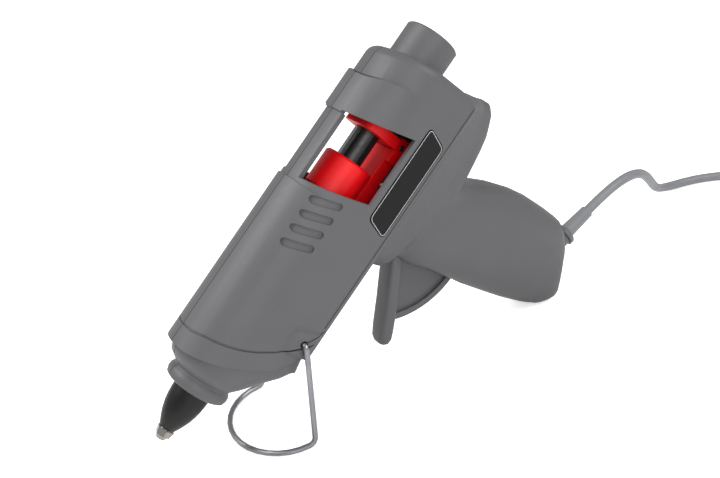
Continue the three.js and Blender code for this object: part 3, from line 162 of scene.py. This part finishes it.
def makeSparkGrey(name, seam):
    # Glass-filled nylon moulded in a spark-eroded tool: a fine even grain, semi-matt, rounded edges
    material, tree = newMaterial(name)
    place = addNode(tree, "ShaderNodeTexCoord")
    cloud = noiseOf(tree, place, sparkGrey["cloudMm"], {"Detail": 3.0})
    grain = noiseOf(tree, place, sparkGrey["grainMm"], {"Detail": 2.0, "Roughness": 0.6})
    tint = blendColours(tree, (cloud, 0), (tintSpan[0], sparkGrey["low"]), (tintSpan[1], sparkGrey["high"]))
    gloss = spread(tree, (grain, 0), glossSpan, sparkGrey["roughness"])
    edge = addNode(tree, "ShaderNodeBevel", {"samples": 6}, {"Radius": sparkGrey["edgeMm"] * mm})
    bump = addNode(tree, "ShaderNodeBump",
                   inputs={"Strength": sparkGrey["grainStrength"],
                           "Distance": sparkGrey["grainDepthMm"] * mm},
                   links={"Height": (grain, 0), "Normal": (edge, 0)})
    shader = addNode(tree, "ShaderNodeBsdfPrincipled", inputs={"IOR": 1.5, "Specular IOR Level": 0.5},
                     links={"Base Color": (tint, 0), "Roughness": (gloss, 0), "Normal": (bump, 0)})
    if seam:
        # the two halves meet at y = 0 in a fine dark line
        axes = addNode(tree, "ShaderNodeSeparateXYZ", links={"Vector": (place, "Object")})
        off = addNode(tree, "ShaderNodeMath", {"operation": "ABSOLUTE"}, links={0: (axes, "Y")})
        seamSpan = [width * mm for width in sparkGrey["seamMm"]]
        near = spread(tree, (off, 0), seamSpan, (sparkGrey["seamTone"], 1.0))
        dark = addNode(tree, "ShaderNodeMix", {"data_type": "RGBA", "blend_type": "MULTIPLY"},
                       inputs={"Factor": 1.0}, links={6: (tint, 0), 7: (near, 0)})
        tree.links.new(dark.outputs[2], shader.inputs["Base Color"])
    finishMaterial(tree, shader)
    return material


plainGrainStrength = 0.3


def makePlain(name, low, high, roughness, metallic=0.0, grainMm=0.6, grainDepthMm=0.02, cloudMm=12.0,
              edgeMm=0.3, ior=1.5):
    # one finish with a slow change of tone, a fine grain in its gloss and softened edges
    material, tree = newMaterial(name)
    place = addNode(tree, "ShaderNodeTexCoord")
    cloud = noiseOf(tree, place, cloudMm, {"Detail": 3.0})
    grain = noiseOf(tree, place, grainMm, {"Detail": 2.0})
    tint = blendColours(tree, (cloud, 0), (tintSpan[0], low), (tintSpan[1], high))
    gloss = spread(tree, (grain, 0), glossSpan, roughness)
    edge = addNode(tree, "ShaderNodeBevel", {"samples": 4}, {"Radius": edgeMm * mm})
    bump = addNode(tree, "ShaderNodeBump",
                   inputs={"Strength": plainGrainStrength, "Distance": grainDepthMm * mm},
                   links={"Height": (grain, 0), "Normal": (edge, 0)})
    inputs = {"Metallic": metallic}
    if not metallic:
        inputs["IOR"] = ior
    shader = addNode(tree, "ShaderNodeBsdfPrincipled", inputs=inputs,
                     links={"Base Color": (tint, 0), "Roughness": (gloss, 0), "Normal": (bump, 0)})
    finishMaterial(tree, shader)
    return material


greyNylon = makeSparkGrey("grey glass-filled nylon, spark-eroded grain", True)
greyTrigger = makeSparkGrey("grey glass-filled nylon trigger", False)
redNylon = makePlain("red nylon, moulded", "#de040e", "#e80812", (0.36, 0.48),
                     grainMm=0.9, grainDepthMm=0.02, edgeMm=0.5, ior=1.38)
siliconeRubber = makePlain("black silicone rubber, moulded", "#08080a", "#0e0e0f", (0.36, 0.48),
                           grainMm=0.7, grainDepthMm=0.03, ior=1.36)
stickGlue = makePlain("black hot-melt glue, extruded", "#121213", "#1d1d1f", (0.25, 0.38),
                      grainMm=2.5, grainDepthMm=0.05, edgeMm=0.5)
darkNylon = makePlain("black nylon, moulded", "#161617", "#202021", (0.4, 0.5), grainMm=0.6, edgeMm=0.4)
badgeFilm = makePlain("black polyester label film, printed", "#060607", "#09090b", (0.3, 0.4),
                      grainMm=1.2, grainDepthMm=0.01, edgeMm=0.2, ior=1.3)
badgeBorder = makePlain("silver label border, printed", "#c9c9cb", "#d6d6d8", (0.3, 0.4),
                        grainMm=1.2, grainDepthMm=0.01)
springSteel = makePlain("spring steel wire, drawn", "#8c8c90", "#a2a2a6", (0.28, 0.4),
                        metallic=1.0, grainMm=0.4, cloudMm=8.0)
standSteel = makePlain("bright steel wire, drawn and bent", "#828286", "#909094", (0.28, 0.4),
                       metallic=1.0, grainMm=0.4, cloudMm=8.0)
nozzleBrass = makePlain("nickel-plated brass nozzle, turned", "#84817b", "#93908a", (0.26, 0.38),
                        metallic=1.0, grainMm=0.5)
zincSteel = makePlain("zinc-plated steel, turned", "#a8a8ac", "#bcbcc0", (0.25, 0.38),
                      metallic=1.0, grainMm=0.5)
nickelBrass = makePlain("nickel-plated brass, turned", "#b4b0a8", "#c9c5bd", (0.22, 0.34),
                        metallic=1.0, grainMm=0.5)
castAluminium = makePlain("aluminium, die-cast", "#a4a6a8", "#b6b8ba", (0.4, 0.55),
                          metallic=1.0, grainMm=0.8, grainDepthMm=0.06)
pressedBoard = makePlain("phenolic board, pressed", "#6b4c34", "#7d5a3e", (0.6, 0.75),
                         grainMm=0.8, grainDepthMm=0.05)
alumina = makePlain("alumina ceramic, sintered", "#ded8cc", "#ece7dd", (0.5, 0.65), grainMm=0.5)
cordPvc = makePlain("grey PVC sheath, extruded", "#707174", "#77787b", (0.42, 0.52),
                    grainMm=1.6, grainDepthMm=0.03)
grommetPvc = makePlain("grey PVC bush, moulded", "#57585b", "#606164", (0.42, 0.52),
                       grainMm=0.8, grainDepthMm=0.03)
print("materials made")

# Mains lead: its route repeats the solid's, then winds the unseen length into the coil
lead = {
    # each point is [behind the exit, to the far side, above the bench], in shares of the radius
    "radius": 2.75, "routeShares": [
        (10.61, 0.01, 15.46), (14.32, 0.18, 16.65), (18.26, 0.67, 17.05), (22, 1.56, 16.45),
        (25.47, 2.82, 14.93), (28.46, 4.27, 12.88), (31.32, 5.96, 10.65), (34.11, 7.75, 8.41),
        (36.84, 9.49, 6.22), (39.79, 11.16, 4.09), (43.09, 12.44, 2.45), (46.89, 13.06, 1.44),
        (50.85, 12.76, 1.08), (54.58, 11.62, 1.05), (58.13, 9.78, 1.05), (61.4, 7.64, 1.05),
        (64.72, 5.4, 1.05), (68.04, 3.17, 1.05)],
    "exit": (-27.51, -145.14), "aimDegrees": -15.8, "straight": 24.0, "tuckedIn": 28.0,
}
# The coil's place beyond the exit, the radii of the turns in a layer and of the lead where it joins
# them, the heights of the layers, and the turns at which the lead steps in, out or up
coil = {
    "beyond": 176.0, "across": -34.5, "radii": (35.8, 30.0, 24.2), "beside": 42.0,
    "low": 4.3, "high": 9.9, "top": 15.6, "fromDegrees": 56.0, "layerTurns": 3, "pointsPerTurn": 16,
    "joinTurns": 0.22, "stepTurns": 0.2, "climbTurns": 0.3,
    "upperAt": 2.82, "topAt": 5.26, "topInwardsAt": 5.42,
}
plugLead = {"length": 12.0, "height": 20.0, "aimDegrees": 30.0, "bend": 22.0}


def smoothShare(value):
    value = min(1.0, max(0.0, value))
    return value * value * (3 - 2 * value)


def leadSpot(distance):
    angle = math.radians(lead["aimDegrees"])
    exitAlong, exitUp = lead["exit"]
    return gunPoint(exitAlong + distance * math.cos(angle), 0, exitUp + distance * math.sin(angle))


exitX = leadSpot(0).x / mm


def coilSpot(degrees, radius, height):
    angle = math.radians(degrees)
    x = exitX + coil["beyond"] + radius * math.cos(angle)
    return Vector((x, coil["across"] + radius * math.sin(angle), height)) * mm


def coilPoints():
    # three turns below wind inwards, three above wind outwards, and the last of them climbs on top
    outer, middle, inner = coil["radii"]
    turns = 2 * coil["layerTurns"] + (coil["fromDegrees"] - 90 - plugLead["aimDegrees"]) / 360
    count = round(turns * coil["pointsPerTurn"])
    step, climb = coil["stepTurns"], coil["climbTurns"]
    points = []
    for i in range(count + 1):
        t = turns * i / count
        radius = outer + (coil["beside"] - outer) * (1 - smoothShare(t / coil["joinTurns"]))
        radius -= (outer - middle) * smoothShare((t - 1.0) / step)
        radius -= (middle - inner) * smoothShare((t - 2.0) / step)
        radius += (middle - inner) * smoothShare((t - 4.0) / step)
        radius += (outer - middle) * smoothShare((t - 5.0) / step)
        radius -= (outer - middle) * smoothShare((t - coil["topInwardsAt"]) / climb)
        height = coil["low"] + (coil["high"] - coil["low"]) * smoothShare((t - coil["upperAt"]) / step)
        height += (coil["top"] - coil["high"]) * smoothShare((t - coil["topAt"]) / climb)
        points.append(coilSpot(coil["fromDegrees"] - 360 * t, radius, height))
    return points


# The plug lies on the coil: its lead turns a quarter circle on the ring, then runs straight to it.
plugTurn = math.radians(plugLead["aimDegrees"])
plugWay = Vector((math.sin(plugTurn), -math.cos(plugTurn), 0))
plugLeft = Vector((plugWay.y, -plugWay.x, 0))
coilMiddle = Vector((exitX + coil["beyond"], coil["across"], 0))
bendMiddle = coilMiddle + plugWay * (plugLead["bend"] - coil["radii"][1])


def bendSpot(degrees):
    angle = math.radians(degrees)
    spot = bendMiddle - plugLead["bend"] * (plugWay * math.cos(angle) + plugLeft * math.sin(angle))
    spot.z = coil["top"] + (plugLead["height"] - coil["top"]) * (1 - math.cos(2 * angle)) / 2
    return spot * mm


def plugSpot(distance):
    return bendSpot(90) + plugWay * distance * mm


plugBack = plugSpot(plugLead["length"])


def makeLead():
    straight = lead["straight"]
    points = [leadSpot(d) for d in (-lead["tuckedIn"], -lead["tuckedIn"] / 2, 0, straight / 2, straight)]
    shares = [Vector(share) * lead["radius"] for share in lead["routeShares"]]
    points += [(Vector((exitX, 0, 0)) + share) * mm for share in shares]
    points += coilPoints()
    points += [bendSpot(30), bendSpot(60), plugSpot(0), plugSpot(plugLead["length"] / 2), plugBack]
    data = bpy.data.curves.new("mainsLead", "CURVE")
    data.dimensions = "3D"
    data.resolution_u = 5
    data.bevel_depth = lead["radius"] * mm
    data.bevel_resolution = 4
    data.use_fill_caps = True
    spline = data.splines.new("BEZIER")
    spline.bezier_points.add(len(points) - 1)
    for i, (knot, point) in enumerate(zip(spline.bezier_points, points)):
        before = points[max(0, i - 1)]
        after = points[min(len(points) - 1, i + 1)]
        along = (after - before).normalized()
        knot.co = point
        knot.handle_left = point - along * (point - before).length / 3
        knot.handle_right = point + along * (after - point).length / 3
    data.materials.append(cordPvc)
    piece = bpy.data.objects.new("mainsLead", data)
    bpy.context.collection.objects.link(piece)
    length = sum((b - a).length for a, b in zip(points, points[1:]))
    return piece, length


mainsLead, leadLength = makeLead()
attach(mainsLead, "gun_body")
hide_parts("cord", "cord_coil", "cord_end")
print("mains lead:", round(leadLength, 3), "m")


# Smooth copies of the moulded and turned solids

def linkMesh(name, mesh):
    piece = bpy.data.objects.new(name, mesh)
    bpy.context.collection.objects.link(piece)
    return piece


meshCare = {"mergeMm": 0.004, "flatWeight": 60}


def smoothCopy(nodeName, name, material, sharpDegrees=32):
    # merged doubles, edges sharper than the angle kept, and face-weighted normals that keep walls flat
    source = nodes[nodeName]
    mesh = source.data.copy()
    work = bmesh.new()
    work.from_mesh(mesh)
    bmesh.ops.remove_doubles(work, verts=work.verts, dist=meshCare["mergeMm"] * mm)
    bmesh.ops.dissolve_degenerate(work, edges=work.edges, dist=meshCare["mergeMm"] * mm)
    for face in work.faces:
        face.smooth = True
    for rim in work.edges:
        rim.smooth = len(rim.link_faces) == 2 and rim.calc_face_angle(math.pi) < math.radians(sharpDegrees)
    work.to_mesh(mesh)
    work.free()
    mesh.materials.clear()
    mesh.materials.append(material)
    for polygon in mesh.polygons:
        polygon.material_index = 0
    piece = linkMesh(name, mesh)
    weigh = piece.modifiers.new("weigh", "WEIGHTED_NORMAL")
    weigh.keep_sharp = True
    weigh.weight = meshCare["flatWeight"]
    graph = bpy.context.evaluated_depsgraph_get()
    piece.data = bpy.data.meshes.new_from_object(piece.evaluated_get(graph))
    piece.modifiers.clear()
    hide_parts(nodeName)
    return piece


finishes = {
    "left_housing": greyNylon, "right_housing": greyNylon, "inlet_tube": greyTrigger,
    "trigger": greyTrigger, "nozzle_boot": siliconeRubber, "feed_sleeve": siliconeRubber,
    "cord_tie": siliconeRubber, "cord_grommet": grommetPvc, "cord_relief": cordPvc,
    "carriage": redNylon, "stick_clamp": redNylon, "glue_stick": stickGlue,
    "badge_plate": badgeFilm, "cord_clamp": darkNylon, "plug_body": darkNylon,
    "nozzle_tip": nozzleBrass, "plug_pin_1": nickelBrass, "plug_pin_2": nickelBrass,
    "melt_chamber": castAluminium, "chamber_ring": pressedBoard, "heater_element": alumina,
    "heater_lead_near": alumina, "heater_lead_far": alumina, "heater_clip": springSteel,
    "return_spring": springSteel, "stand_wire": standSteel, "trigger_pin": zincSteel,
    "clamp_pin": zincSteel,
}
bodyOf = {node: body for body, members in frame["record"]["behaviour"]["bodies"].items()
          for node in members}
replaced = {"cord", "cord_coil", "cord_end"}
for nodeName in sorted(nodes):
    if nodeName in replaced:
        continue
    finish = finishes.get(nodeName, zincSteel)
    words = nodeName.split("_")
    piece = smoothCopy(nodeName, words[0] + "".join(w.capitalize() for w in words[1:]), finish)
    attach(piece, bodyOf[nodeName])

# Soft rings of the plug's flexible tail, one behind another on the lead
rings = {
    "Count": 5, "Spacing": 2.1, "Radius": 3.4, "Width": 1.6, "Taper": 0.04,
    "ahead": 1.3, "sides": 40, "sectionSides": 14,
}


def ringTree():
    # a line of rings along Z, each a little smaller than the one before it
    tree = bpy.data.node_groups.new("relief rings", "GeometryNodeTree")
    for name in ("Count", "Spacing", "Radius", "Width", "Taper"):
        kind = "NodeSocketInt" if name == "Count" else "NodeSocketFloat"
        tree.interface.new_socket(name=name, in_out="INPUT", socket_type=kind)
    tree.interface.new_socket(name="Geometry", in_out="OUTPUT", socket_type="NodeSocketGeometry")
    given = addNode(tree, "NodeGroupInput")
    step = addNode(tree, "ShaderNodeCombineXYZ", links={"Z": (given, "Spacing")})
    line = addNode(tree, "GeometryNodeMeshLine", {"mode": "OFFSET"},
                   links={"Count": (given, "Count"), "Offset": (step, 0)})
    half = addNode(tree, "ShaderNodeMath", {"operation": "MULTIPLY"}, {1: 0.5}, {0: (given, "Width")})
    around = addNode(tree, "GeometryNodeCurvePrimitiveCircle", inputs={"Resolution": rings["sides"]},
                     links={"Radius": (given, "Radius")})
    section = addNode(tree, "GeometryNodeCurvePrimitiveCircle",
                      inputs={"Resolution": rings["sectionSides"]}, links={"Radius": (half, 0)})
    ring = addNode(tree, "GeometryNodeCurveToMesh",
                   links={"Curve": (around, 0), "Profile Curve": (section, 0)})
    index = addNode(tree, "GeometryNodeInputIndex")
    less = addNode(tree, "ShaderNodeMath", {"operation": "MULTIPLY"},
                   links={0: (index, 0), 1: (given, "Taper")})
    size = addNode(tree, "ShaderNodeMath", {"operation": "SUBTRACT"}, {0: 1.0}, {1: (less, 0)})
    placed = addNode(tree, "GeometryNodeInstanceOnPoints",
                     links={"Points": (line, 0), "Instance": (ring, 0), "Scale": (size, 0)})
    real = addNode(tree, "GeometryNodeRealizeInstances", links={"Geometry": (placed, 0)})
    smooth = addNode(tree, "GeometryNodeSetShadeSmooth", links={"Geometry": (real, 0)})
    finish = addNode(tree, "GeometryNodeSetMaterial", inputs={"Material": darkNylon},
                     links={"Geometry": (smooth, 0)})
    addNode(tree, "NodeGroupOutput", links={"Geometry": (finish, 0)})
    return tree


def makeRings():
    piece = linkMesh("plugReliefRings", bpy.data.meshes.new("plugReliefRings"))
    build = piece.modifiers.new("rings", "NODES")
    build.node_group = ringTree()
    for socket in build.node_group.interface.items_tree:
        if socket.in_out == "INPUT":
            inMm = socket.name in ("Spacing", "Radius", "Width")
            build[socket.identifier] = rings[socket.name] * mm if inMm else rings[socket.name]
    graph = bpy.context.evaluated_depsgraph_get()
    piece.data = bpy.data.meshes.new_from_object(piece.evaluated_get(graph))
    piece.modifiers.clear()
    place = Matrix.Translation(plugBack - plugWay * rings["ahead"] * mm)
    piece.data.transform(place @ (-plugWay).to_track_quat("Z", "Y").to_matrix().to_4x4())
    return piece


plugReliefRings = makeRings()
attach(plugReliefRings, "gun_body")

# Printed rim line of the badge
badgeRim = {
    "front": -86.4, "rear": -34.8, "top": -10.0, "bottom": -22.9, "slant": 3.4, "corner": 3.0,
    "margin": 0.75, "halfWidthMm": 0.13, "stepsPerCorner": 6,
}


def badgeRimPoints():
    m, slant = badgeRim["margin"], badgeRim["slant"]
    front, rear = badgeRim["front"] + m, badgeRim["rear"] - m
    top, bottom = badgeRim["top"] - m, badgeRim["bottom"] + m
    places = ((front, bottom), (rear - slant, bottom), (rear, top), (front + slant, top))
    corners = [Vector(place) for place in places]
    reach = badgeRim["corner"] - m
    points = []
    for i, corner in enumerate(corners):
        start = corner + (corners[i - 1] - corner).normalized() * reach
        end = corner + (corners[(i + 1) % len(corners)] - corner).normalized() * reach
        for k in range(badgeRim["stepsPerCorner"] + 1):
            t = k / badgeRim["stepsPerCorner"]
            points.append(start * (1 - t) ** 2 + corner * 2 * t * (1 - t) + end * t ** 2)
    return points


def makeBadgeRim():
    data = bpy.data.curves.new("badgeRimLine", "CURVE")
    data.dimensions = "3D"
    data.bevel_depth = badgeRim["halfWidthMm"] * mm
    data.bevel_resolution = 2
    spline = data.splines.new("POLY")
    outline = badgeRimPoints()
    spline.points.add(len(outline) - 1)
    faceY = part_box("badge_plate")[0][1] / mm
    for knot, (x, z) in zip(spline.points, outline):
        knot.co = (*gunPoint(x, faceY, z), 1)
    spline.use_cyclic_u = True
    data.materials.append(badgeBorder)
    piece = bpy.data.objects.new("badgeRimLine", data)
    bpy.context.collection.objects.link(piece)
    return piece


badgeRimLine = makeBadgeRim()
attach(badgeRimLine, "gun_body")
print("relief rings and badge rim made")

# Studio
studio = {"floorSize": 60.0, "floor": "#ffffff", "worldStrength": 0.56, "floorGlow": 0.5}


def makeStudio():
    material, tree = newMaterial("white paper sweep")
    path = addNode(tree, "ShaderNodeLightPath")
    paper = addNode(tree, "ShaderNodeBsdfDiffuse", inputs={"Color": colour(studio["floor"])})
    glow = addNode(tree, "ShaderNodeEmission",
                   inputs={"Color": colour(studio["floor"]), "Strength": studio["floorGlow"]})
    both = addNode(tree, "ShaderNodeAddShader", links={0: (paper, 0), 1: (glow, 0)})
    seen = addNode(tree, "ShaderNodeMixShader",
                   links={0: (path, "Is Camera Ray"), 1: (paper, 0), 2: (both, 0)})
    finishMaterial(tree, seen)
    half = studio["floorSize"] / 2
    mesh = bpy.data.meshes.new("floor")
    corners = [(-half, -half, 0), (half, -half, 0), (half, half, 0), (-half, half, 0)]
    mesh.from_pydata(corners, [], [(0, 1, 2, 3)])
    mesh.materials.append(material)
    floor = linkMesh("floor", mesh)
    world = bpy.data.worlds.new("studio")
    bpy.context.scene.world = world
    world.use_nodes = True
    world.node_tree.nodes.clear()
    sky = addNode(world.node_tree, "ShaderNodeBackground",
                  inputs={"Color": colour(studio["floor"]), "Strength": studio["worldStrength"]})
    addNode(world.node_tree, "ShaderNodeOutputWorld", links={"Surface": (sky, 0)})


lamps = [
    # name, place in metres, aim in metres, size in metres, watts
    {"name": "topSoftbox", "place": (-0.55, 0.25, 0.85), "aim": (0.0, 0.0, 0.09),
     "size": 0.55, "watts": 7.6},
    {"name": "rightSoftbox", "place": (0.6, -0.55, 0.75), "aim": (0.06, 0.0, 0.09),
     "size": 0.5, "watts": 4.4},
    {"name": "frontSoftbox", "place": (-0.25, -0.95, 0.55), "aim": (0.0, 0.0, 0.08),
     "size": 0.7, "watts": 4.2},
]


def makeLamps():
    for lamp in lamps:
        data = bpy.data.lights.new(lamp["name"], "AREA")
        data.shape = "SQUARE"
        data.size = lamp["size"]
        data.energy = lamp["watts"]
        holder = bpy.data.objects.new(lamp["name"], data)
        bpy.context.collection.objects.link(holder)
        place = Vector(lamp["place"])
        turn = (Vector(lamp["aim"]) - place).to_track_quat("-Z", "Y").to_matrix().to_4x4()
        holder.matrix_world = Matrix.Translation(place) @ turn


makeStudio()
makeLamps()
bpy.context.scene.view_settings.view_transform = "Standard"
print("studio made")
